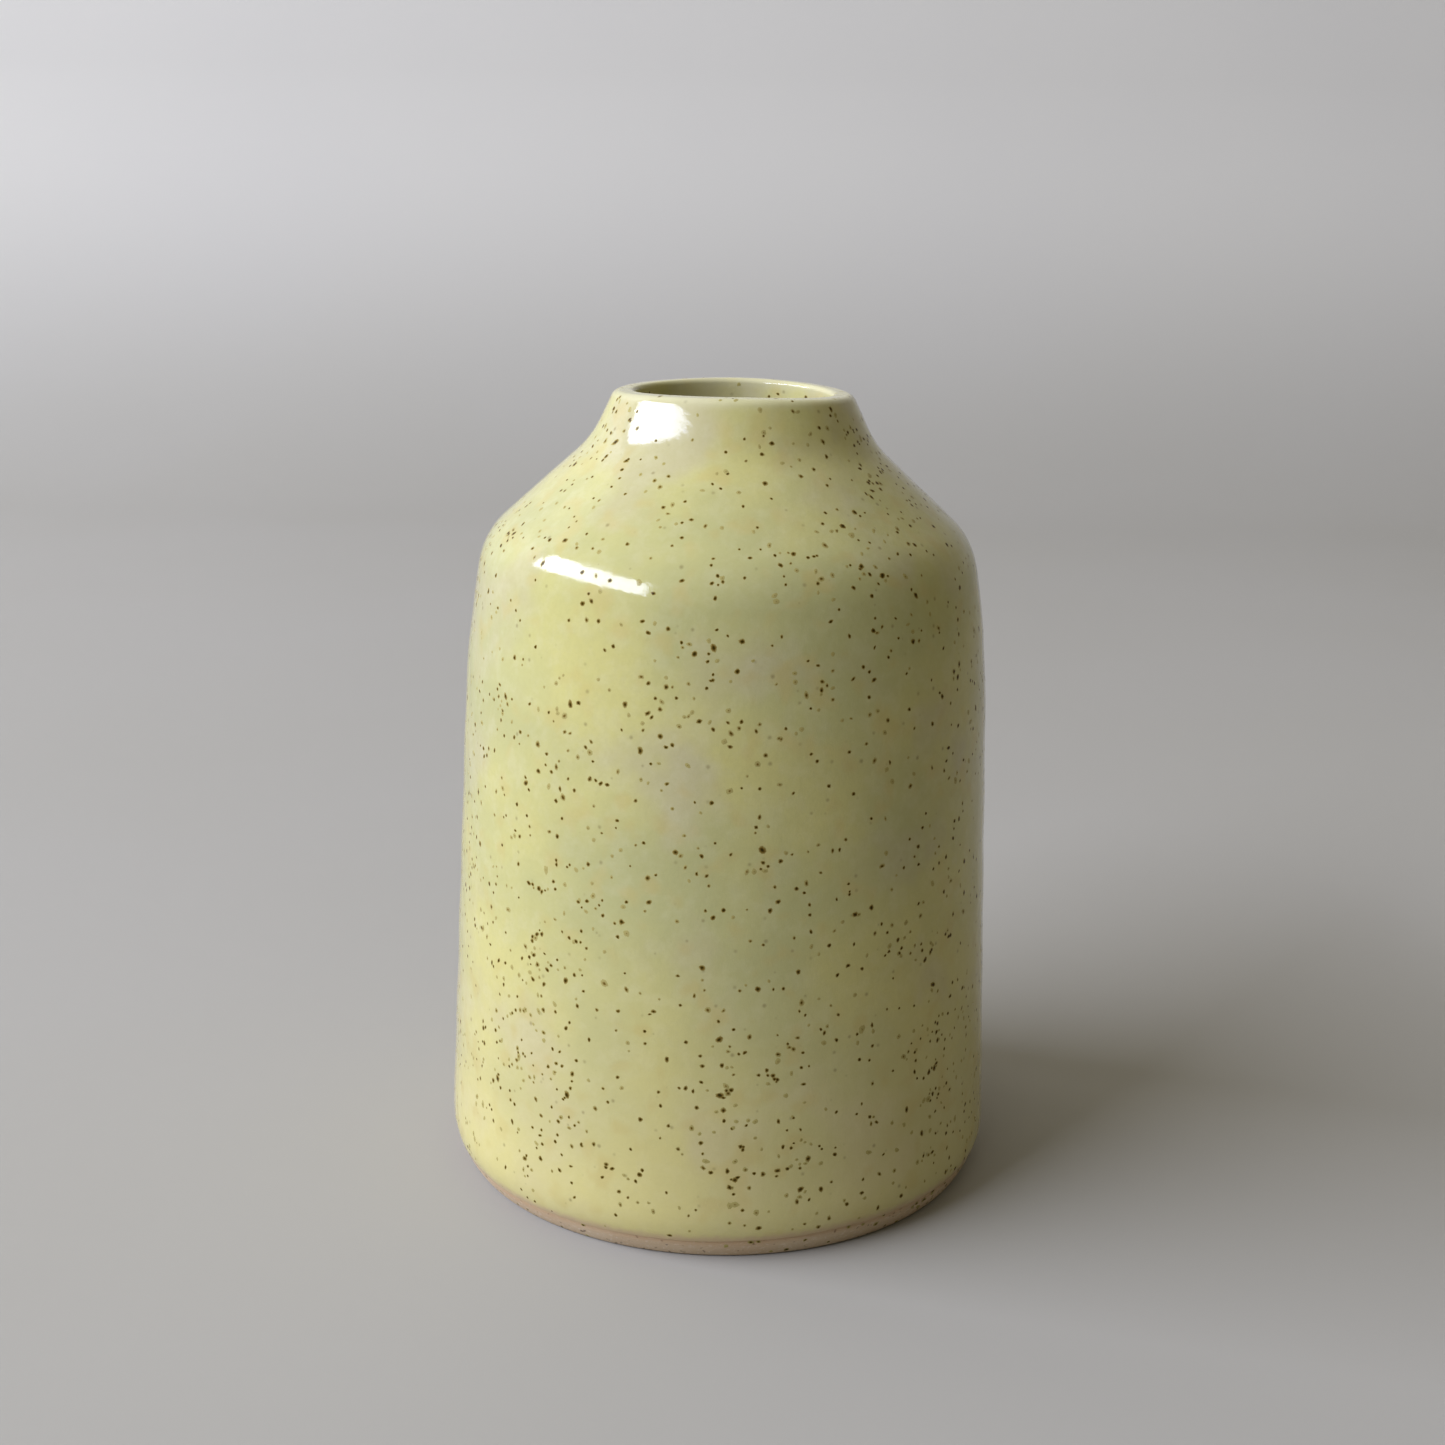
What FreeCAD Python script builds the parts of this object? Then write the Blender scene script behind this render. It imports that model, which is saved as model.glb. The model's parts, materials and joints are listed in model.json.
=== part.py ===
import FreeCAD, Part
import math
import os
from collections import namedtuple

import Sketcher

# A small wheel-thrown bud vase: a stoneware body, the speckled glaze fired onto its outside and
# the liner glaze inside it. Each is a solid turned about +Z. The origin is the centre of the foot,
# on the surface that the vase stands on. Lengths are in millimetres.

SHEET = "sizes"

DRIVING_SIZES = [
    # over the glaze, from the foot to the rim
    ("height", 90.0),
    ("foot_radius", 30.2),
    ("heel_radius", 32.1),
    ("heel_height", 2.4),
    ("heel_round", 6.5),
    ("wall_top_radius", 29.5),
    ("wall_top_height", 62.0),
    ("wall_top_round", 130.0),
    ("shoulder_radius", 27.6),
    ("shoulder_height", 73.7),
    ("shoulder_round", 9.0),
    ("neck_radius", 15.9),
    ("neck_height", 84.3),
    ("neck_round", 10.5),
    ("lip_outer_radius", 13.3),
    ("lip_outer_height", 89.92),
    ("lip_outer_round", 1.15),
    ("crest_radius", 11.6),
    # over the liner, from the rim to the floor
    ("lip_inner_height", 89.93),
    ("lip_inner_round", 0.35),
    ("throat_radius", 10.95),
    ("throat_bottom", 83.5),
    ("throat_round", 4.0),
    ("inner_shoulder_radius", 25.0),
    ("inner_shoulder_height", 71.0),
    ("inner_shoulder_round", 6.0),
    ("inner_wall_radius", 28.0),
    ("floor_height", 5.2),
    ("floor_round", 7.0),
    # underside of the foot
    ("foot_edge_round", 0.5),
    ("recess_radius", 24.0),
    ("recess_depth", 0.8),
    ("foot_ring_radius", 25.0),
    # glaze
    ("coat", 0.35),
    ("glaze_line", 2.5),
    ("wipe_radius", 40.0),
    ("turn", 360.0),
]

Corner = namedtuple("Corner", "name across up rounding")


class Length:
    """A length from the sheet: its value now, and the expression that binds it to the cells."""

    def __init__(self, value, formula):
        self.value = value
        self.formula = formula

    def __add__(self, other):
        return Length(self.value + other.value, f"{self.formula} + {other.formula}")

    def __sub__(self, other):
        return Length(self.value - other.value, f"{self.formula} - {other.formula}")


def write_sheet(doc):
    """Put the driving sizes into the spreadsheet, one named cell each."""
    sheet = doc.addObject("Spreadsheet::Sheet", SHEET)
    for row, (alias, value) in enumerate(DRIVING_SIZES, start=1):
        sheet.set(f"A{row}", alias)
        sheet.set(f"B{row}", str(value))
        sheet.setAlias(f"B{row}", alias)
    doc.recompute()
    return sheet


doc = FreeCAD.newDocument("bud_vase")
sheet = write_sheet(doc)


def size(alias):
    return Length(float(sheet.get(alias)), f"{SHEET}.{alias}")


NOTHING = Length(0.0, "0")


def outside_corners(inset):
    """Outside of the vase from the foot up to the crest of the rim, inset from the glazed surface."""
    return [
        Corner("foot", size("foot_radius") + size("coat") - inset, NOTHING, None),
        Corner("heel", size("heel_radius") - inset, size("heel_height"), size("heel_round")),
        Corner("wall_top", size("wall_top_radius") - inset, size("wall_top_height"), size("wall_top_round")),
        Corner("shoulder", size("shoulder_radius") - inset, size("shoulder_height"), size("shoulder_round")),
        Corner("neck", size("neck_radius") - inset, size("neck_height"), size("neck_round")),
        Corner("lip_outer", size("lip_outer_radius") - inset, size("lip_outer_height") - inset,
               size("lip_outer_round")),
        Corner("crest", size("crest_radius"), size("height") - inset, None),
    ]


def inside_corners(inset):
    """Inside of the vase from the crest down to the middle of the floor, inset from the liner's surface."""
    return [
        Corner("crest", size("crest_radius"), size("height") - inset, None),
        Corner("lip_inner", size("throat_radius") + inset, size("lip_inner_height") - inset,
               size("lip_inner_round")),
        Corner("throat", size("throat_radius") + inset, size("throat_bottom"), size("throat_round")),
        Corner("inner_shoulder", size("inner_shoulder_radius") + inset, size("inner_shoulder_height"),
               size("inner_shoulder_round")),
        Corner("floor_edge", size("inner_wall_radius") + inset, size("floor_height") - inset,
               size("floor_round")),
        Corner("floor_middle", NOTHING, size("floor_height") - inset, None),
    ]


def underside_corners():
    """Shallow recess turned into the base, which leaves a foot ring for the vase to stand on."""
    return [
        Corner("recess_middle", NOTHING, size("recess_depth"), None),
        Corner("recess_edge", size("recess_radius"), size("recess_depth"), None),
        Corner("ring_inner", size("foot_ring_radius"), NOTHING, None),
    ]


def place(corner):
    return FreeCAD.Vector(corner.across.value, corner.up.value, 0)


def tangent_points(before, corner, after):
    """Where a rounded corner's arc leaves and joins its two straights, and the arc's centre."""
    point = place(corner)
    to_before = (place(before) - point).normalize()
    to_after = (place(after) - point).normalize()
    half_angle = to_before.getAngle(to_after) / 2
    reach = corner.rounding.value / math.tan(half_angle)
    centre_way = (to_before + to_after).normalize()
    centre = point + centre_way * (corner.rounding.value / math.sin(half_angle))
    return point + to_before * reach, point + to_after * reach, centre


def add_arc(sketch, start, end, centre):
    """Add the short arc from start to end about centre, and tell which of its ends is the start."""
    first = math.atan2(start.y - centre.y, start.x - centre.x)
    last = math.atan2(end.y - centre.y, end.x - centre.x)
    forwards = (last - first) % (2 * math.pi) < math.pi
    if not forwards:
        first, last = last, first
    circle = Part.Circle(centre, FreeCAD.Vector(0, 0, 1), (start - centre).Length)
    return sketch.addGeometry(Part.ArcOfCircle(circle, first, last)), forwards


def bind(sketch, constraint, name, length):
    """Add a named constraint whose value follows the sheet."""
    index = sketch.addConstraint(constraint)
    sketch.renameConstraint(index, name)
    sketch.setExpression(f"Constraints.{name}", length.formula)


def bind_point(sketch, geometry, end, corner, name):
    """Hold a sketch point at its corner's distances from the axis and from the ground."""
    bind(sketch, Sketcher.Constraint("DistanceX", -1, 1, geometry, end, corner.across.value),
         f"{name}_across", corner.across)
    bind(sketch, Sketcher.Constraint("DistanceY", -1, 1, geometry, end, corner.up.value),
         f"{name}_up", corner.up)


def draw_outline(sketch, corners):
    """Draw a closed outline of straights and tangent arcs, every corner bound to the sheet."""
    count = len(corners)
    joints = []
    for i, corner in enumerate(corners):
        if corner.rounding is None:
            joints.append((place(corner), place(corner), None))
        else:
            joints.append(tangent_points(corners[i - 1], corner, corners[(i + 1) % count]))
    straights = []
    for i in range(count):
        line = Part.LineSegment(joints[i][1], joints[(i + 1) % count][0])
        straights.append(sketch.addGeometry(line))
    for i, corner in enumerate(corners):
        arriving = straights[i - 1]
        leaving = straights[i]
        name = f"{corner.name}_{i}"
        if corner.rounding is None:
            sketch.addConstraint(Sketcher.Constraint("Coincident", arriving, 2, leaving, 1))
            bind_point(sketch, leaving, 1, corner, name)
            continue
        arc, forwards = add_arc(sketch, *joints[i])
        start, end = (1, 2) if forwards else (2, 1)
        sketch.addConstraint(Sketcher.Constraint("Tangent", arriving, 2, arc, start))
        sketch.addConstraint(Sketcher.Constraint("Tangent", leaving, 1, arc, end))
        bind(sketch, Sketcher.Constraint("Radius", arc, corner.rounding.value), f"{name}_round", corner.rounding)
        point = sketch.addGeometry(Part.Point(place(corner)), True)
        sketch.addConstraint(Sketcher.Constraint("PointOnObject", point, 1, arriving))
        sketch.addConstraint(Sketcher.Constraint("PointOnObject", point, 1, leaving))
        bind_point(sketch, point, 1, corner, name)


def origin_plane(body, role):
    return next(item for item in body.Origin.OriginFeatures if item.Role == role)


def turned_feature(body, kind, name, corners):
    """Turn an outline about +Z, as a Revolution that adds or a Groove that cuts."""
    sketch = body.newObject("Sketcher::SketchObject", f"{name}_outline")
    sketch.AttachmentSupport = [(origin_plane(body, "XZ_Plane"), "")]
    sketch.MapMode = "FlatFace"
    draw_outline(sketch, corners)
    doc.recompute()
    feature = body.newObject(kind, name)
    feature.Profile = sketch
    feature.ReferenceAxis = (sketch, ["V_Axis"])
    feature.setExpression("Angle", f"{SHEET}.turn")
    doc.recompute()
    return feature


def new_body(label):
    body = doc.addObject("PartDesign::Body", label)
    body.Label = label
    body.Placement = FreeCAD.Placement()
    return body


def make_stoneware_body():
    """Thrown clay wall, floor, neck and rim, bare at the foot."""
    body = new_body("stoneware_body")
    outside = outside_corners(size("coat"))
    foot = outside[0]._replace(rounding=size("foot_edge_round"))
    inside = inside_corners(size("coat"))
    turned_feature(body, "PartDesign::Revolution", "thrown_clay",
                   underside_corners() + [foot] + outside[1:] + inside[1:])
    return body


def make_outer_glaze():
    """Coat over the outside, wiped off the foot below the glaze line."""
    body = new_body("outer_glaze")
    clay_side = outside_corners(size("coat"))
    glazed_side = outside_corners(NOTHING)
    coat = turned_feature(body, "PartDesign::Revolution", "outer_coat", glazed_side + clay_side[::-1])
    coat_volume = coat.Shape.Volume
    wiped_band = [
        Corner("wipe_inner", size("foot_ring_radius"), NOTHING, None),
        Corner("wipe_outer", size("wipe_radius"), NOTHING, None),
        Corner("wipe_outer_top", size("wipe_radius"), size("glaze_line"), None),
        Corner("wipe_inner_top", size("foot_ring_radius"), size("glaze_line"), None),
    ]
    wiped = turned_feature(body, "PartDesign::Groove", "wiped_foot", wiped_band)
    if wiped.Shape.Volume >= coat_volume:
        raise RuntimeError("the wiped foot removed no glaze")
    return body


def make_liner_glaze():
    """Coat over the inside, from the crest of the rim down the throat, wall and floor."""
    body = new_body("liner_glaze")
    turned_feature(body, "PartDesign::Revolution", "liner_coat",
                   inside_corners(size("coat")) + inside_corners(NOTHING)[::-1])
    return body


def check_document():
    """Stop if any object failed to build."""
    for item in doc.Objects:
        if "Invalid" in item.State or "Error" in item.State:
            raise RuntimeError(f"{item.Name} failed: {item.State}")


def check_solid(body):
    if body.Shape.isNull() or not body.Shape.isValid():
        raise RuntimeError(f"{body.Label} has no valid shape")
    if len(body.Shape.Solids) != 1:
        raise RuntimeError(f"{body.Label} is not one solid")


bodies = [make_stoneware_body(), make_outer_glaze(), make_liner_glaze()]
doc.recompute()
check_document()
os.makedirs("parts", exist_ok=True)
for body in bodies:
    check_solid(body)
    body.Shape.exportStep(f"parts/{body.Label}.step")
    box = body.Shape.optimalBoundingBox()
    print(f"{body.Label}: {body.Shape.Volume:.0f} mm3, z {box.ZMin:.2f} to {box.ZMax:.2f}, radius {box.XMax:.2f}")
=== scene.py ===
import json
import math

import bpy
from mathutils import Matrix, Vector


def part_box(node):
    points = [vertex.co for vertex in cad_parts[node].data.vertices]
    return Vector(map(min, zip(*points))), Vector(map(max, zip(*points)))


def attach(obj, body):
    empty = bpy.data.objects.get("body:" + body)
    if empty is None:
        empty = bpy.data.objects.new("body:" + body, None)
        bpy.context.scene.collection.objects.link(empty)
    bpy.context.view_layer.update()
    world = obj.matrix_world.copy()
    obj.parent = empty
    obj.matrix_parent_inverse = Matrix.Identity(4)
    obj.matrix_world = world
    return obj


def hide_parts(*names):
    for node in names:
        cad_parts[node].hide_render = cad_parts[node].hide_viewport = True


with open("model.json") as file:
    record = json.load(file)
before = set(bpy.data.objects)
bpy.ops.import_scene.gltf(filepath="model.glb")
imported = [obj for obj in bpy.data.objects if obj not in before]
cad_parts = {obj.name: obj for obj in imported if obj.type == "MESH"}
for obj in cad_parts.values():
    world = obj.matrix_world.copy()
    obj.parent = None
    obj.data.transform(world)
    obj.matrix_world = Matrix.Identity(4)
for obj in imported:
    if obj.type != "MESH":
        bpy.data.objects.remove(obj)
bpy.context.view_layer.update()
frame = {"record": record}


# ---------------------------------------------------------------- stoneware body
# The clay itself: thrown on the wheel in iron-flecked stoneware, turned underneath when leather
# hard, and fired. It shows bare only where the glaze was wiped off the foot; everything above
# is under glaze. Thrown walls are never quite round or quite straight, so each form is spun from
# its outline with shallow throwing rings, a little sway and a rim that rises and falls.

MM = 0.001
STEPS_ROUND = 256
LARGEST_TURN = 0.12

clay_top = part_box("stoneware_body")[1][2] / MM
glaze_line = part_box("outer_glaze")[0][2] / MM
rim_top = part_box("outer_glaze")[1][2] / MM
throat = next(m for m in frame["record"]["mounts"] if m["name"] == "throat")
throat_radius = throat["dims"]["r_mm"]
crest_radius = 11.6
foot_radius = 30.2
foot_round = 0.8
recess_radius = 24.0
recess_depth = 0.8
ring_slope = 0.9
ring_round = 0.3
tool_marks = 0.035
coat = rim_top - clay_top
bury = 0.1


def rounded_outline(corners, step):
    """Points in metres along straights and tangent arcs. A corner is (radius, height, rounding) in mm."""
    points = [Vector(corners[0][:2])]
    for before, corner, after in zip(corners, corners[1:], corners[2:]):
        tip = Vector(corner[:2])
        if corner[2] == 0:
            points.append(tip)
            continue
        to_before = (Vector(before[:2]) - tip).normalized()
        to_after = (Vector(after[:2]) - tip).normalized()
        half = to_before.angle(to_after) / 2
        start = tip + to_before * corner[2] / math.tan(half)
        end = tip + to_after * corner[2] / math.tan(half)
        centre = tip + (to_before + to_after).normalized() * corner[2] / math.sin(half)
        arc = (start - centre).angle_signed(end - centre)
        parts = max(3, math.ceil(max(abs(arc) / LARGEST_TURN, abs(arc) * corner[2] / step)))
        for i in range(parts + 1):
            points.append(centre + Matrix.Rotation(-arc * i / parts, 2) @ (start - centre))
    points.append(Vector(corners[-1][:2]))
    outline = [points[0]]
    for point in points[1:]:
        gap = point - outline[-1]
        parts = max(1, math.ceil(gap.length / step))
        base = outline[-1]
        outline += [base + gap * (i + 1) / parts for i in range(parts)]
    return [p * MM for p in outline]


def turned_base(radius, depth, marks):
    """The recess under the foot, from the middle outwards, with the turning tool's fine rings."""
    spacing = 1.1
    count = math.ceil(radius / (spacing / 4))
    radii = [radius * i / count for i in range(count + 1)]
    return [Vector((r, depth + marks * math.sin(2 * math.pi * r / spacing))) * MM for r in radii]


# outside and inside of the glazed vase; the clay lies one coat behind them
outside = [
    (32.1, 2.4, 6.5),
    (29.5, 62.0, 130.0),
    (27.6, 73.7, 9.0),
    (15.9, 84.3, 10.5),
    (13.3, 89.92, 1.15),
]
inside = [
    (throat_radius, 89.93, 0.55),
    (throat_radius, 83.5, 4.0),
    (25.0, 71.0, 6.0),
    (28.0, 5.2, 7.0),
]
floor_height = inside[-1][1]


def drawn_back(corners, distance):
    """The outside's corners moved towards the axis; the lip also moves down."""
    moved = [(r - distance, h, rounding) for r, h, rounding in corners[:-1]]
    lip_radius, lip_height, lip_rounding = corners[-1]
    return moved + [(lip_radius - distance, lip_height - distance, lip_rounding)]


def let_in(corners, distance):
    """The inside's corners moved into the wall, down at the lip and down at the floor."""
    (lip_r, lip_h, lip_round), *between, (floor_r, floor_h, floor_round) = corners
    moved = [(r + distance, h, rounding) for r, h, rounding in between]
    return ([(lip_r + distance, lip_h - distance, lip_round)] + moved
            + [(floor_r + distance, floor_h - distance, floor_round)])


base_outline = turned_base(recess_radius, recess_depth, tool_marks)
clay_foot = [
    (recess_radius, recess_depth, 0),
    (recess_radius + ring_slope, 0.0, ring_round),
    (foot_radius, 0.0, foot_round),
]
clay_outside = drawn_back(outside, coat)
clay_inside = let_in(inside, coat)
clay_shell = clay_foot + clay_outside + [(crest_radius, clay_top, 0)] + clay_inside
clay_shell.append((0.0, floor_height - coat, 0))
clay_step = 0.9
clay_outline = base_outline[:-1] + rounded_outline(clay_shell, clay_step)


def new_tree(kind, name, inputs):
    """An empty node tree with a geometry in and out, and one named input for each size."""
    tree = bpy.data.node_groups.new(name, kind)
    tree.interface.new_socket("Geometry", in_out="OUTPUT", socket_type="NodeSocketGeometry")
    tree.interface.new_socket("Geometry", in_out="INPUT", socket_type="NodeSocketGeometry")
    for label, socket_type, value in inputs:
        socket = tree.interface.new_socket(label, in_out="INPUT", socket_type=socket_type)
        socket.default_value = value
    return tree


def add(tree, kind, settings=None, inputs=None):
    """Add a node; each input is another node's socket, to link, or a plain value."""
    node = tree.nodes.new(kind)
    for name, value in (settings or {}).items():
        setattr(node, name, value)
    for name, value in (inputs or {}).items():
        if isinstance(value, bpy.types.NodeSocket):
            tree.links.new(value, node.inputs[name])
        else:
            node.inputs[name].default_value = value
    return node


def reckon(tree, operation, a, b=0.0, c=0.0):
    """A sum on one number, two or three."""
    return add(tree, "ShaderNodeMath", {"operation": operation}, {0: a, 1: b, 2: c}).outputs[0]


def ease(tree, value, low, high, at_low=0.0, at_high=1.0):
    """Eases from at_low to at_high as the value goes from low to high, and stays level outside."""
    settings = {"interpolation_type": "SMOOTHSTEP"}
    inputs = {"Value": value, "From Min": low, "From Max": high, "To Min": at_low, "To Max": at_high}
    return add(tree, "ShaderNodeMapRange", settings, inputs).outputs[0]


FORM_SIZES = [
    ("Steps Round", "NodeSocketInt", STEPS_ROUND),
    ("Ring Depth", "NodeSocketFloat", 0.06 * MM),
    ("Ring Spacing", "NodeSocketFloat", 10.5 * MM),
    ("Sway", "NodeSocketFloat", 0.16 * MM),
    ("Rim Wave", "NodeSocketFloat", 0.2 * MM),
    ("Rim Shift", "NodeSocketFloat", 0.2 * MM),
    ("Line Height", "NodeSocketFloat", glaze_line * MM),
    ("Line Tilt", "NodeSocketFloat", 0.6 * MM),
    ("Line Wave", "NodeSocketFloat", 0.5 * MM),
    ("Line Slides", "NodeSocketFloat", 0.0),
    ("Edge Thinning", "NodeSocketFloat", 0.0),
    ("Seed", "NodeSocketInt", 7),
]


def thrown_form_tree():
    """Spins an outline about +Z, then gives it the slight unevenness of a hand-thrown wall."""
    tree = new_tree("GeometryNodeTree", "Thrown Form", FORM_SIZES)
    sizes = add(tree, "NodeGroupInput").outputs
    outline = sizes["Geometry"]
    counts = add(tree, "GeometryNodeAttributeDomainSize", {"component": "MESH"}, {0: outline}).outputs
    rows = counts["Point Count"]
    columns = reckon(tree, "ADD", sizes["Steps Round"], 1.0)
    grid = add(tree, "GeometryNodeMeshGrid", None, {"Vertices X": columns, "Vertices Y": rows}).outputs[0]

    index = add(tree, "GeometryNodeInputIndex").outputs[0]
    column = reckon(tree, "FLOOR", reckon(tree, "DIVIDE", reckon(tree, "ADD", index, 0.5), rows))
    row = reckon(tree, "SUBTRACT", index, reckon(tree, "MULTIPLY", column, rows))
    angle = reckon(tree, "DIVIDE", reckon(tree, "MULTIPLY", column, math.tau), sizes["Steps Round"])
    place = add(tree, "GeometryNodeInputPosition").outputs[0]
    sample = add(tree, "GeometryNodeSampleIndex", {"data_type": "FLOAT_VECTOR"},
                 {"Geometry": outline, "Value": place, "Index": row}).outputs[0]
    drawn = add(tree, "ShaderNodeSeparateXYZ", None, {0: sample}).outputs
    radius, height = drawn["X"], drawn["Z"]
    across = reckon(tree, "COSINE", angle)
    along = reckon(tree, "SINE", angle)
    spun = add(tree, "ShaderNodeCombineXYZ", None, {
        "X": reckon(tree, "MULTIPLY", radius, across),
        "Y": reckon(tree, "MULTIPLY", radius, along),
        "Z": height,
    }).outputs[0]

    def unevenness(scale, detail, shift):
        """Seamless noise about zero, read at the place on the form."""
        offset = reckon(tree, "ADD", sizes["Seed"], shift)
        noise = add(tree, "ShaderNodeTexNoise", {"noise_dimensions": "4D"},
                    {"Vector": spun, "W": offset, "Scale": scale, "Detail": detail}).outputs[0]
        return reckon(tree, "SUBTRACT", noise, 0.5)

    standing = ease(tree, height, 0.5 * MM, 6 * MM)
    climb = reckon(tree, "DIVIDE", height, sizes["Ring Spacing"])
    turns = reckon(tree, "ADD", reckon(tree, "MULTIPLY", climb, math.tau), angle)
    firmness = reckon(tree, "ADD", unevenness(45.0, 1.0, 11.0), 0.5)
    rings = reckon(tree, "MULTIPLY", reckon(tree, "SINE", turns), firmness)
    rings = reckon(tree, "MULTIPLY", rings, sizes["Ring Depth"])
    sway = reckon(tree, "MULTIPLY", unevenness(26.0, 1.0, 3.0), sizes["Sway"])
    swell = reckon(tree, "MULTIPLY", reckon(tree, "ADD", rings, sway), standing)
    quiet_axis = ease(tree, radius, 0.0, 6 * MM)
    swell = reckon(tree, "MULTIPLY", swell, quiet_axis)

    neck_height, under_rim = 84 * MM, 89 * MM
    near_rim = ease(tree, height, neck_height, under_rim)
    twice_round = reckon(tree, "COSINE", reckon(tree, "MULTIPLY", angle, 2.0))
    lift = reckon(tree, "MULTIPLY", twice_round, sizes["Rim Wave"])
    ripple = reckon(tree, "MULTIPLY", unevenness(70.0, 1.0, 5.0), sizes["Rim Wave"])
    lift = reckon(tree, "MULTIPLY", reckon(tree, "SUBTRACT", ripple, lift), near_rim)
    shoulder_height = 70 * MM
    leaning = ease(tree, height, shoulder_height, under_rim)
    shift = reckon(tree, "MULTIPLY", leaning, sizes["Rim Shift"])

    tilt = reckon(tree, "MULTIPLY", across, sizes["Line Tilt"])
    wave = reckon(tree, "MULTIPLY", unevenness(95.0, 3.0, 2.0), sizes["Line Wave"])
    line_rise = reckon(tree, "ADD", tilt, wave)
    still_above = ease(tree, height, 3.2 * MM, 8 * MM, 1.0, 0.0)
    still_below = ease(tree, height, 0.8 * MM, 2.4 * MM)
    by_line = reckon(tree, "MULTIPLY", still_above, still_below)
    slide = reckon(tree, "MULTIPLY", reckon(tree, "MULTIPLY", line_rise, by_line), sizes["Line Slides"])
    heel_top, heel_curve = 4.8 * MM, 6.1 * MM
    heel_lean = reckon(tree, "DIVIDE", reckon(tree, "SUBTRACT", heel_top, height), heel_curve)
    tuck = reckon(tree, "MULTIPLY", slide, reckon(tree, "MAXIMUM", heel_lean, 0.0))
    over_line = reckon(tree, "SUBTRACT", height, sizes["Line Height"])
    thin_above = ease(tree, over_line, 0.0, 3.2 * MM, 1.0, 0.0)
    none_below = ease(tree, over_line, -0.1 * MM, 0.0)
    at_edge = reckon(tree, "MULTIPLY", thin_above, none_below)
    thinning = reckon(tree, "MULTIPLY", at_edge, sizes["Edge Thinning"])

    out = reckon(tree, "ADD", swell, reckon(tree, "SUBTRACT", tuck, thinning))
    push = add(tree, "ShaderNodeCombineXYZ", None, {
        "X": reckon(tree, "ADD", reckon(tree, "MULTIPLY", out, across), shift),
        "Y": reckon(tree, "MULTIPLY", out, along),
        "Z": reckon(tree, "ADD", lift, slide),
    }).outputs[0]
    final = add(tree, "ShaderNodeVectorMath", {"operation": "ADD"}, {0: spun, 1: push}).outputs[0]
    shaped = add(tree, "GeometryNodeSetPosition", None, {"Geometry": grid, "Position": final}).outputs[0]
    line_place = reckon(tree, "ADD", sizes["Line Height"], line_rise)
    above = reckon(tree, "SUBTRACT", reckon(tree, "ADD", height, slide), line_place)
    marked = add(tree, "GeometryNodeStoreNamedAttribute", {"data_type": "FLOAT", "domain": "POINT"},
                 {"Geometry": shaped, "Name": "above_line", "Value": above}).outputs[0]
    seam_gap = 0.001 * MM
    merged = add(tree, "GeometryNodeMergeByDistance", None, {"Geometry": marked, "Distance": seam_gap})
    closed = merged.outputs[0]
    smooth = add(tree, "GeometryNodeSetShadeSmooth", None, {"Geometry": closed, "Shade Smooth": True})
    add(tree, "NodeGroupOutput", None, {"Geometry": smooth.outputs[0]})
    return tree


thrown_form = thrown_form_tree()


def finished_tree(name, sizes, make_geometry, material):
    """A modifier tree whose result ends in real geometry with its material."""
    tree = new_tree("GeometryNodeTree", name, sizes)
    given = add(tree, "NodeGroupInput").outputs
    made = make_geometry(tree, given)
    real = add(tree, "GeometryNodeRealizeInstances", None, {"Geometry": made}).outputs[0]
    painted = add(tree, "GeometryNodeSetMaterial", None, {"Geometry": real, "Material": material})
    add(tree, "NodeGroupOutput", None, {"Geometry": painted.outputs[0]})
    return tree


def form_in_tree(tree, given):
    """The thrown form inside another tree, its inputs passed on by name."""
    form = add(tree, "GeometryNodeGroup", {"node_tree": thrown_form})
    tree.links.new(given["Geometry"], form.inputs["Geometry"])
    for label, _, _ in FORM_SIZES:
        tree.links.new(given[label], form.inputs[label])
    return form.outputs[0]


def built_piece(name, outline, tree, values):
    """Run a modifier tree on an outline and keep the result as a plain mesh object."""
    line = bpy.data.meshes.new(f"{name}_outline")
    edges = [(i, i + 1) for i in range(len(outline) - 1)]
    line.from_pydata([(p.x, 0.0, p.y) for p in outline], edges, [])
    piece = bpy.data.objects.new(name, line)
    bpy.context.scene.collection.objects.link(piece)
    modifier = piece.modifiers.new("Making", "NODES")
    modifier.node_group = tree
    for item in tree.interface.items_tree:
        if item.name in values:
            modifier[item.identifier] = values[item.name]
    made = piece.evaluated_get(bpy.context.evaluated_depsgraph_get())
    mesh = bpy.data.meshes.new_from_object(made)
    piece.modifiers.remove(modifier)
    piece.data = mesh
    mesh.name = name
    crease = math.radians(50)
    mesh.set_sharp_from_angle(angle=crease)
    return piece


def new_material(name):
    """A material with its shader, and the place on the object that its patterns read."""
    material = bpy.data.materials.new(name)
    material.use_nodes = True
    tree = material.node_tree
    shader = tree.nodes["Principled BSDF"]
    place = add(tree, "ShaderNodeTexCoord").outputs["Object"]
    return material, tree, shader, place


def cloud(tree, place, scale, detail=2.0, roughness=0.5):
    """Noise at a number of features to the metre."""
    inputs = {"Vector": place, "Scale": scale, "Detail": detail, "Roughness": roughness}
    return add(tree, "ShaderNodeTexNoise", None, inputs).outputs["Fac"]


def blend(tree, amount, below, above):
    """Mix two colours by an amount."""
    node = add(tree, "ShaderNodeMix", {"data_type": "RGBA", "clamp_factor": True}, {"Factor": amount})
    for index, value in ((6, below), (7, above)):
        if isinstance(value, bpy.types.NodeSocket):
            tree.links.new(value, node.inputs[index])
        else:
            node.inputs[index].default_value = (*value, 1.0)
    return node.outputs[2]


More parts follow.
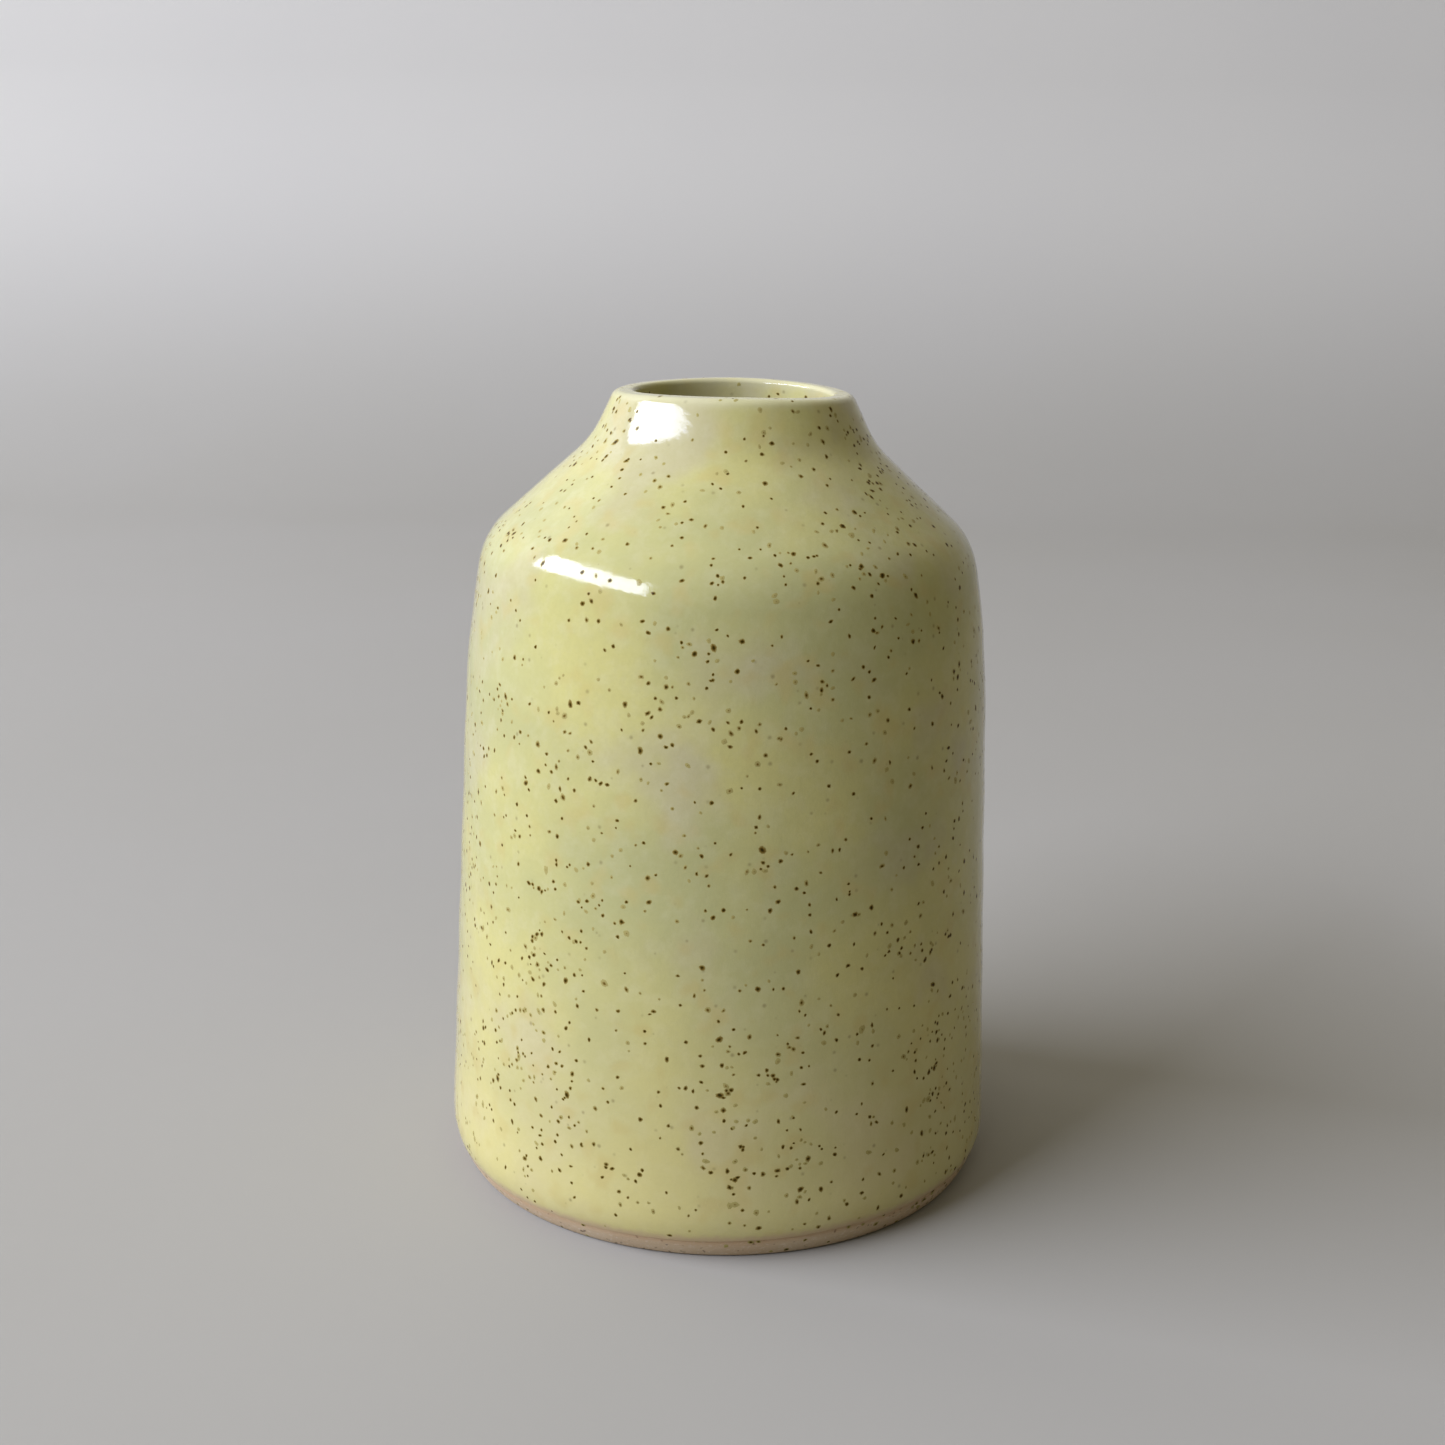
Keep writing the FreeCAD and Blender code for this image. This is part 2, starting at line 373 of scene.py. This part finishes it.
def bare_clay():
    """Fired iron-flecked stoneware: warm buff, toasted beside the glaze, fine grit and tool drag."""
    material, tree, shader, place = new_material("bare_clay")
    buff = (0.530, 0.410, 0.255)
    rosy = (0.490, 0.360, 0.215)
    pale = (0.610, 0.505, 0.360)
    toasted = (0.430, 0.270, 0.130)
    black = (0.075, 0.045, 0.025)
    drift = ease(tree, cloud(tree, place, 120.0, 3.0), 0.35, 0.65)
    colour = blend(tree, drift, buff, rosy)
    grit = ease(tree, cloud(tree, place, 2600.0, 2.0), 0.52, 0.72, 0.0, 0.55)
    colour = blend(tree, grit, colour, pale)
    pepper = ease(tree, cloud(tree, place, 1500.0, 1.0), 0.66, 0.74, 0.0, 0.7)
    colour = blend(tree, pepper, colour, black)
    above = add(tree, "ShaderNodeAttribute", {"attribute_name": "above_line"}).outputs["Fac"]
    beside = ease(tree, above, -1.1 * MM, -0.05 * MM, 0.0, 0.6)
    colour = blend(tree, beside, colour, toasted)
    tree.links.new(colour, shader.inputs["Base Color"])
    rough = ease(tree, cloud(tree, place, 900.0), 0.3, 0.7, 0.72, 0.92)
    tree.links.new(rough, shader.inputs["Roughness"])
    sand = add(tree, "ShaderNodeBump", None, {
        "Strength": 0.6, "Distance": 0.03 * MM, "Height": cloud(tree, place, 3200.0, 3.0, 0.6),
    }).outputs[0]
    drawn_out = (0.04, 0.04, 1.0)
    drag_place = add(tree, "ShaderNodeMapping", None, {"Vector": place, "Scale": drawn_out}).outputs[0]
    drag = add(tree, "ShaderNodeBump", None, {
        "Strength": 0.5,
        "Distance": 0.03 * MM,
        "Height": cloud(tree, drag_place, 2400.0, 1.0),
        "Normal": sand,
    }).outputs[0]
    tree.links.new(drag, shader.inputs["Normal"])
    shader.inputs["IOR"].default_value = 1.45
    shader.inputs["Specular IOR Level"].default_value = 0.3
    return material


clay_tree = finished_tree("Stoneware Body", FORM_SIZES, form_in_tree, bare_clay())
stoneware = built_piece("thrown_stoneware", clay_outline, clay_tree, {"Ring Depth": 0.05 * MM})
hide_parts("stoneware_body")
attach(stoneware, "root")


# ---------------------------------------------------------------- outer glaze
# A semi-gloss pale yellow-green glaze, dipped over the fired clay and fused to it. It is painted paler and
# warmer low on the wall as painted bounce light from the table, thins to a paler line over the rim where a
# painted highlight is added along the crest, and stops in a soft edge just above the foot, where it was
# wiped away with a sponge, so that edge wanders and stands a little higher on one side.

glazed_outside = [(foot_radius + coat, 0.0, 0)] + outside + [(crest_radius, rim_top, 0)]
buried_outside = [(foot_radius - bury, 0.0, 0)] + drawn_back(outside, coat + bury)
buried_outside.append((crest_radius, rim_top - coat - bury, 0))


def above_glaze_line(outline):
    """The part of an outline over the glaze line, starting exactly on the line."""
    first = next(i for i, p in enumerate(outline) if p.y > glaze_line * MM)
    below, over = outline[first - 1], outline[first]
    start = below.lerp(over, (glaze_line * MM - below.y) / (over.y - below.y))
    return [start] + outline[first:]


coat_step = 0.7
edge_tuck = 0.06
seen_coat = above_glaze_line(rounded_outline(glazed_outside, coat_step))
seen_coat[0] = seen_coat[0] + Vector((-edge_tuck, 0.0)) * MM
hidden_coat = above_glaze_line(rounded_outline(buried_outside, step=3.0))
coat_outline = seen_coat + hidden_coat[::-1] + seen_coat[:1]


def iron_cluster(tree, place):
    """How thickly the clay's iron ore gathers at a place: shared by the specks and the blush round them."""
    return add(tree, "ShaderNodeTexNoise", None, {"Vector": place, "Scale": 300.0, "Detail": 1.0}).outputs[0]


def speckled_glaze():
    """Pale lemon glaze, greener and greyer where it pools, warm over clustered iron, softly glossy."""
    material, tree, shader, place = new_material("speckled_glaze")
    lemon = (0.490, 0.440, 0.155)
    sage = (0.400, 0.378, 0.155)
    mauve = (0.440, 0.388, 0.205)
    bounce_lit_honey = (0.590, 0.495, 0.200)
    blush = (0.460, 0.350, 0.110)
    iron = (0.170, 0.130, 0.045)
    pale = (0.580, 0.540, 0.330)
    thin = (0.440, 0.310, 0.180)
    dull = (0.380, 0.340, 0.130)
    pinhole = (0.780, 0.760, 0.620)
    colour = blend(tree, ease(tree, cloud(tree, place, 48.0, 3.0), 0.36, 0.64), lemon, sage)
    elsewhere = (0.3, 0.1, 0.2)
    grey_place = add(tree, "ShaderNodeVectorMath", {"operation": "ADD"}, {0: place, 1: elsewhere}).outputs[0]
    grey = ease(tree, cloud(tree, grey_place, 75.0, 3.0), 0.50, 0.70, 0.0, 0.85)
    colour = blend(tree, grey, colour, mauve)
    mottle = ease(tree, cloud(tree, place, 420.0, 3.0, 0.6), 0.42, 0.72, 0.0, 0.16)
    colour = blend(tree, mottle, colour, pale)
    curdle = ease(tree, cloud(tree, place, 1500.0, 3.0, 0.7), 0.38, 0.66, 0.0, 0.16)
    colour = blend(tree, curdle, colour, dull)
    height = add(tree, "ShaderNodeSeparateXYZ", None, {0: place}).outputs["Z"]
    # painted bounce light: the glaze is painted paler and warmer towards the foot, standing in for light
    # thrown up from the table
    painted_bounce_light = ease(tree, height, 3 * MM, 42 * MM, 0.50, 0.0)
    colour = blend(tree, painted_bounce_light, colour, bounce_lit_honey)
    warm = ease(tree, iron_cluster(tree, place), 0.54, 0.74, 0.0, 0.35)
    colour = blend(tree, warm, colour, blush)

    faint = add(tree, "ShaderNodeTexVoronoi", {"voronoi_dimensions": "3D", "feature": "F1"},
                {"Vector": place, "Scale": 640.0}).outputs
    chance = add(tree, "ShaderNodeSeparateColor", None, {0: faint["Color"]}).outputs
    reach = ease(tree, chance[0], 0.20, 1.0, 0.0, 0.20)
    fleck = ease(tree, reckon(tree, "SUBTRACT", faint["Distance"], reach), -0.18, 0.03, 0.55, 0.0)
    colour = blend(tree, fleck, colour, iron)
    pins = add(tree, "ShaderNodeTexVoronoi", {"voronoi_dimensions": "3D", "feature": "F1"},
               {"Vector": place, "Scale": 170.0}).outputs
    pin_chance = add(tree, "ShaderNodeSeparateColor", None, {0: pins["Color"]}).outputs
    pin_size = ease(tree, pin_chance[1], 0.84, 0.86, 0.0, 0.030)
    pin = ease(tree, reckon(tree, "SUBTRACT", pins["Distance"], pin_size), -0.012, 0.0, 0.55, 0.0)
    colour = blend(tree, pin, colour, pinhole)

    # paler over the rim: partly the glaze thinning over the edge, partly a painted highlight along the crest
    thin_rim_and_highlight = ease(tree, height, (rim_top - 1.2) * MM, rim_top * MM, 0.0, 0.45)
    colour = blend(tree, thin_rim_and_highlight, colour, pale)
    above = add(tree, "ShaderNodeAttribute", {"attribute_name": "above_line"}).outputs["Fac"]
    fray = reckon(tree, "MULTIPLY", reckon(tree, "SUBTRACT", cloud(tree, place, 900.0), 0.5), 0.9 * MM)
    thinning = ease(tree, reckon(tree, "ADD", above, fray), 0.0, 1.1 * MM, 0.80, 0.0)
    colour = blend(tree, thinning, colour, thin)
    tree.links.new(colour, shader.inputs["Base Color"])

    rough = ease(tree, cloud(tree, place, 260.0, 3.0), 0.3, 0.7, 0.08, 0.15)
    tree.links.new(rough, shader.inputs["Roughness"])
    peel = add(tree, "ShaderNodeBump", None, {
        "Strength": 1.0, "Distance": 0.027 * MM, "Height": cloud(tree, place, 640.0, 2.0),
    }).outputs[0]
    grain = add(tree, "ShaderNodeBump", None, {
        "Strength": 1.0,
        "Distance": 0.0075 * MM,
        "Height": cloud(tree, place, 2100.0, 2.0, 0.6),
        "Normal": peel,
    }).outputs[0]
    tree.links.new(grain, shader.inputs["Normal"])
    shader.inputs["IOR"].default_value = 1.42
    shader.inputs["Specular IOR Level"].default_value = 0.36
    return material


glaze = speckled_glaze()
coat_tree = finished_tree("Outer Glaze", FORM_SIZES, form_in_tree, glaze)
coat_edge = {"Line Slides": 1.0, "Edge Thinning": 0.2 * MM}
outer = built_piece("outer_glaze_coat", coat_outline, coat_tree, coat_edge)
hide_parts("outer_glaze")
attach(outer, "root")


# ---------------------------------------------------------------- liner glaze
# The same glaze, poured in, swilled round and tipped out, so it runs from the crest of the rim
# down the throat, under the shoulder and over the whole floor. The thrower's finger rings are
# deeper in here, because nobody smooths the inside of a narrow-necked pot.

seen_liner = [(crest_radius, rim_top, 0)] + inside + [(0.0, floor_height, 0)]
hidden_liner = [(0.0, floor_height - coat - bury, 0)] + let_in(inside, coat + bury)[::-1]
hidden_liner.append((crest_radius, rim_top - coat - bury, 0))
seen_liner_outline = rounded_outline(seen_liner, clay_step)
hidden_liner_outline = rounded_outline(hidden_liner, step=4.0)
liner_outline = seen_liner_outline + hidden_liner_outline + seen_liner_outline[:1]

liner_tree = finished_tree("Liner Glaze", FORM_SIZES, form_in_tree, glaze)
liner = built_piece("liner_glaze_coat", liner_outline, liner_tree, {})
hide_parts("liner_glaze")
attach(liner, "root")


# ---------------------------------------------------------------- iron specks
# Grains of iron ore in the clay that melted up through the glaze in the kiln: small dark blots
# of every size, thinly scattered, here and there in chains and clusters, their edges bleeding
# brown into the glaze. They lie flush in the surface, outside, over the rim and inside the mouth.

bare_skin = rounded_outline(clay_foot[1:] + clay_outside[:2], coat_step)
under_line = 0.2
outside_skin = [p for p in bare_skin if p.y < (glaze_line - under_line) * MM] + seen_coat[1:]
inside_skin = seen_liner_outline


def iron_speck_colour():
    """Near-black brown at the heart, rust and olive further out, and glaze-coloured at the very edge."""
    material, tree, shader, place = new_material("iron_speck")
    heart = (0.036, 0.024, 0.002)
    rust = (0.160, 0.098, 0.016)
    bleed = (0.345, 0.290, 0.095)
    edge = add(tree, "ShaderNodeAttribute", {"attribute_name": "speck_edge"}).outputs["Fac"]
    tone = add(tree, "ShaderNodeAttribute", {"attribute_name": "speck_tone"}).outputs["Fac"]
    grain = reckon(tree, "MULTIPLY", reckon(tree, "SUBTRACT", cloud(tree, place, 5200.0), 0.5), 0.4)
    melt = reckon(tree, "ADD", edge, reckon(tree, "ADD", grain, tone))
    colour = blend(tree, ease(tree, melt, 0.35, 0.95), heart, rust)
    colour = blend(tree, ease(tree, melt, 0.75, 1.45), colour, bleed)
    tree.links.new(colour, shader.inputs["Base Color"])
    rough = ease(tree, cloud(tree, place, 2500.0), 0.3, 0.7, 0.14, 0.30)
    tree.links.new(rough, shader.inputs["Roughness"])
    shader.inputs["IOR"].default_value = 1.4
    shader.inputs["Specular IOR Level"].default_value = 0.1
    return material


SPECK_SIZES = FORM_SIZES + [
    ("Specks Per Area", "NodeSocketFloat", 0.26 / MM ** 2),
    ("Clustered Per Area", "NodeSocketFloat", 1.0 / MM ** 2),
    ("Chained Per Area", "NodeSocketFloat", 2.4 / MM ** 2),
    ("Least Gap", "NodeSocketFloat", 0.5 * MM),
    ("Smallest Radius", "NodeSocketFloat", 0.115 * MM),
    ("Common Spread", "NodeSocketFloat", 0.09 * MM),
    ("Rare Spread", "NodeSocketFloat", 0.06 * MM),
    ("Relief", "NodeSocketFloat", 0.016 * MM),
]


def specks_in_tree(tree, given):
    """Scatter specks over the thrown form, some alone and some in clusters, each pressed to its curve."""
    skin = form_in_tree(tree, given)
    spot = add(tree, "GeometryNodeInputPosition").outputs[0]
    drift = add(tree, "ShaderNodeTexNoise", None, {"Vector": spot, "Scale": 70.0, "Detail": 2.0}).outputs[0]
    alone = add(tree, "GeometryNodeDistributePointsOnFaces", {"distribute_method": "POISSON"}, {
        "Mesh": skin,
        "Distance Min": given["Least Gap"],
        "Density Max": given["Specks Per Area"],
        "Density Factor": ease(tree, drift, 0.35, 0.62, 0.45, 1.0),
        "Seed": reckon(tree, "ADD", given["Seed"], 1.0),
    }).outputs
    knotted = ease(tree, iron_cluster(tree, spot), 0.66, 0.76)
    vein = reckon(tree, "ABSOLUTE", reckon(tree, "SUBTRACT", iron_cluster(tree, spot), 0.47))
    vein = ease(tree, vein, 0.0, 0.02, 1.0, 0.0)
    veined = reckon(tree, "MULTIPLY", vein, ease(tree, drift, 0.54, 0.60))
    crowd = reckon(tree, "ADD", reckon(tree, "MULTIPLY", knotted, given["Clustered Per Area"]),
                   reckon(tree, "MULTIPLY", veined, given["Chained Per Area"]))
    bunched = add(tree, "GeometryNodeDistributePointsOnFaces", {"distribute_method": "RANDOM"}, {
        "Mesh": skin, "Density": crowd, "Seed": reckon(tree, "ADD", given["Seed"], 2.0),
    }).outputs

    heart_width, edge_width = 0.55, 1.65
    crown = add(tree, "GeometryNodeMeshCone", {"fill_type": "TRIANGLE_FAN"}, {
        "Vertices": 8, "Side Segments": 2, "Fill Segments": 1,
        "Radius Top": heart_width, "Radius Bottom": edge_width, "Depth": 1.0,
    }).outputs
    crown_at = add(tree, "ShaderNodeSeparateXYZ", None, {0: spot}).outputs
    flat = add(tree, "ShaderNodeCombineXYZ", None, {"X": crown_at["X"], "Y": crown_at["Y"]}).outputs[0]
    from_heart = add(tree, "ShaderNodeVectorMath", {"operation": "LENGTH"}, {0: flat}).outputs["Value"]
    dome = ease(tree, from_heart, heart_width * 0.5, edge_width, 1.0, -0.25)
    blot = add(tree, "GeometryNodeDeleteGeometry", {"domain": "FACE"}, {
        "Geometry": crown["Mesh"], "Selection": crown["Bottom"],
    }).outputs[0]
    for label, value in (("speck_edge", from_heart), ("speck_rise", dome)):
        blot = add(tree, "GeometryNodeStoreNamedAttribute", {"data_type": "FLOAT", "domain": "POINT"}, {
            "Geometry": blot, "Name": label, "Value": value,
        }).outputs[0]
    flattened = (1.0, 1.0, 0.0)
    blot = add(tree, "GeometryNodeTransform", None, {"Geometry": blot, "Scale": flattened}).outputs[0]

    groups = []
    for number, scatter in enumerate((alone, bunched)):
        chance = []
        for i in range(4):
            draw = add(tree, "FunctionNodeRandomValue", {"data_type": "FLOAT"}, {"Seed": 10 * number + i})
            chance.append(draw.outputs[1])
        common = reckon(tree, "MULTIPLY", chance[0], given["Common Spread"])
        rare = reckon(tree, "MULTIPLY", reckon(tree, "POWER", chance[0], 9.0), given["Rare Spread"])
        size = reckon(tree, "ADD", given["Smallest Radius"], reckon(tree, "ADD", common, rare))
        longest = 0.6
        stretch = reckon(tree, "MULTIPLY", reckon(tree, "POWER", chance[1], 2.0), longest)
        stretch = reckon(tree, "ADD", 1.0, stretch)
        scale = add(tree, "ShaderNodeCombineXYZ", None, {
            "X": reckon(tree, "MULTIPLY", size, stretch), "Y": size, "Z": 1.0,
        }).outputs[0]
        turn = add(tree, "FunctionNodeRotateRotation", {"rotation_space": "LOCAL"}, {
            "Rotation": scatter["Rotation"],
            "Rotate By": add(tree, "FunctionNodeAxisAngleToRotation", None, {
                "Axis": (0.0, 0.0, 1.0), "Angle": reckon(tree, "MULTIPLY", chance[2], math.tau),
            }).outputs[0],
        }).outputs[0]
        slight = reckon(tree, "MULTIPLY", chance[3], 0.3)
        sunken = ease(tree, chance[3], 0.40, 0.95, 0.0, 0.70)
        faintness = reckon(tree, "ADD", slight, sunken)
        points = scatter["Points"]
        for label, kind, value in (("speck_tone", "FLOAT", faintness), ("speck_heart", "FLOAT_VECTOR", spot),
                                   ("speck_out", "FLOAT_VECTOR", scatter["Normal"])):
            points = add(tree, "GeometryNodeStoreNamedAttribute", {"data_type": kind, "domain": "POINT"}, {
                "Geometry": points, "Name": label, "Value": value,
            }).outputs[0]
        groups.append(add(tree, "GeometryNodeInstanceOnPoints", None, {
            "Points": points, "Instance": blot, "Rotation": turn, "Scale": scale,
        }).outputs[0])
    joined = add(tree, "GeometryNodeJoinGeometry")
    for group in groups:
        tree.links.new(group, joined.inputs[0])
    real = add(tree, "GeometryNodeRealizeInstances", None, {"Geometry": joined.outputs[0]}).outputs[0]

    def kept(label, kind="FLOAT_VECTOR"):
        return add(tree, "GeometryNodeInputNamedAttribute", {"data_type": kind}, {"Name": label}).outputs[0]

    heart = kept("speck_heart")
    arm = add(tree, "ShaderNodeVectorMath", {"operation": "SUBTRACT"}, {0: spot, 1: heart}).outputs[0]
    noise = add(tree, "ShaderNodeTexNoise", None, {"Vector": spot, "Scale": 3300.0, "Detail": 1.0})
    raggedness = 1.4
    uneven = reckon(tree, "MULTIPLY", reckon(tree, "SUBTRACT", noise.outputs[0], 0.5), raggedness)
    nudge = add(tree, "ShaderNodeVectorMath", {"operation": "SCALE"}, {0: arm, "Scale": uneven}).outputs[0]
    ragged_blots = add(tree, "GeometryNodeSetPosition", None, {"Geometry": real, "Offset": nudge}).outputs[0]
    on_skin = add(tree, "GeometryNodeProximity", {"target_element": "FACES"}, {0: skin}).outputs["Position"]
    rise = reckon(tree, "MULTIPLY", kept("speck_rise", "FLOAT"), given["Relief"])
    out = kept("speck_out")
    stand = add(tree, "ShaderNodeVectorMath", {"operation": "SCALE"}, {0: out, "Scale": rise}).outputs[0]
    pressed = add(tree, "GeometryNodeSetPosition", None, {
        "Geometry": ragged_blots, "Position": on_skin, "Offset": stand,
    }).outputs[0]
    return pressed


speck_tree = finished_tree("Iron Specks", SPECK_SIZES, specks_in_tree, iron_speck_colour())
outside_specks = built_piece("iron_specks_outside", outside_skin, speck_tree, coat_edge)
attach(outside_specks, "root")
sparser = {"Specks Per Area": 0.2 / MM ** 2}
inside_specks = built_piece("iron_specks_inside", inside_skin, speck_tree, sparser)
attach(inside_specks, "root")


# ---------------------------------------------------------------- studio
# A plain pale table that sweeps up into a plain wall, one large soft window light from the left,
# and a dim warm room around them, lighter overhead.

def sweep_points(front, back, bend, top):
    """Side view of the table and wall: level, a quarter circle, then upright."""
    steps = 12
    points = [(front, 0.0), (back - bend, 0.0)]
    for i in range(1, steps):
        angle = math.pi / 2 * i / steps
        points.append((back - bend + bend * math.sin(angle), bend - bend * math.cos(angle)))
    return points + [(back, bend), (back, top)]


half_width = 2.4
bend = 0.16
profile = sweep_points(front=-2.4, back=0.62, bend=bend, top=1.6)
sweep = bpy.data.meshes.new("table_and_wall")
corners = [(x, y, z) for y, z in profile for x in (-half_width, half_width)]
sweep.from_pydata(corners, [], [(2 * i, 2 * i + 1, 2 * i + 3, 2 * i + 2) for i in range(len(profile) - 1)])
sweep.shade_smooth()
backdrop = bpy.data.objects.new("table_and_wall", sweep)
bpy.context.scene.collection.objects.link(backdrop)
paper, paper_tree, paper_shader, paper_place = new_material("pale_paper")
rise = add(paper_tree, "ShaderNodeSeparateXYZ", None, {0: paper_place}).outputs["Z"]
table_tone = (0.318, 0.296, 0.240)
wall_tone = (0.555, 0.522, 0.435)
dim_tone = (0.400, 0.380, 0.360)
paper_tone = blend(paper_tree, ease(paper_tree, rise, 0.0, bend), table_tone, wall_tone)
shade = ease(paper_tree, cloud(paper_tree, paper_place, 9.0), 0.3, 0.7, 0.0, 0.06)
paper_tone = blend(paper_tree, shade, paper_tone, dim_tone)
paper_tree.links.new(paper_tone, paper_shader.inputs["Base Color"])
paper_shader.inputs["Roughness"].default_value = 0.9
sweep.materials.append(paper)


def soft_light(name, azimuth, elevation, distance, width, height, power, colour):
    """An upright rectangle of light facing the vase, placed by its bearing from the vase."""
    aim = Vector((0.0, 0.0, 0.06))
    bearing = math.radians(azimuth)
    level = distance * math.cos(math.radians(elevation))
    rise = distance * math.sin(math.radians(elevation))
    place = aim + Vector((level * math.sin(bearing), -level * math.cos(bearing), rise))
    lamp = bpy.data.lights.new(name, "AREA")
    lamp.shape = "RECTANGLE"
    lamp.size = width
    lamp.size_y = height
    lamp.energy = power
    lamp.color = colour
    light = bpy.data.objects.new(name, lamp)
    bpy.context.scene.collection.objects.link(light)
    facing = Vector((aim.x - place.x, aim.y - place.y, 0.0))
    light.rotation_euler = facing.to_track_quat("-Z", "Y").to_euler()
    light.location = place
    light.visible_camera = False


soft_light("window", azimuth=-72.0, elevation=33.0, distance=1.5, width=1.65, height=0.45,
           power=51.0, colour=(0.94, 1.02, 1.34))

world = bpy.data.worlds.new("room")
bpy.context.scene.world = world
world.use_nodes = True
room = world.node_tree
skyward = add(room, "ShaderNodeSeparateXYZ", None, {
    0: add(room, "ShaderNodeTexCoord").outputs["Generated"],
}).outputs["Z"]
low_fill, overhead_fill, plain_backdrop = 0.12, 0.50, 0.55
ceiling = ease(room, skyward, 0.3, 1.0, low_fill, overhead_fill)
seen = add(room, "ShaderNodeLightPath").outputs["Is Camera Ray"]
strength = reckon(room, "MAXIMUM", ceiling, reckon(room, "MULTIPLY", seen, plain_backdrop))
room_tint = (1.0, 0.94, 0.77, 1.0)
background = room.nodes["Background"]
background.inputs["Color"].default_value = room_tint
room.links.new(strength, background.inputs["Strength"])
bpy.context.scene.view_settings.view_transform = "Standard"

camera_data = bpy.data.cameras.new("camera")
camera_data.lens = 48.44
camera_data.sensor_width = 36.0
camera_data.clip_start = 0.01
camera = bpy.data.objects.new("camera", camera_data)
bpy.context.scene.collection.objects.link(camera)
camera_distance = 218.1 * MM
camera_height = 110.4 * MM
look_down = math.radians(15.09)
turned = math.radians(0.083)
rolled = math.radians(1.14)
aimed = (Matrix.Rotation(turned, 4, "Z") @ Matrix.Rotation(math.pi / 2 - look_down, 4, "X")
         @ Matrix.Rotation(rolled, 4, "Z"))
camera.location = (0.0, -camera_distance, camera_height)
camera.rotation_euler = aimed.to_euler()
bpy.context.scene.camera = camera
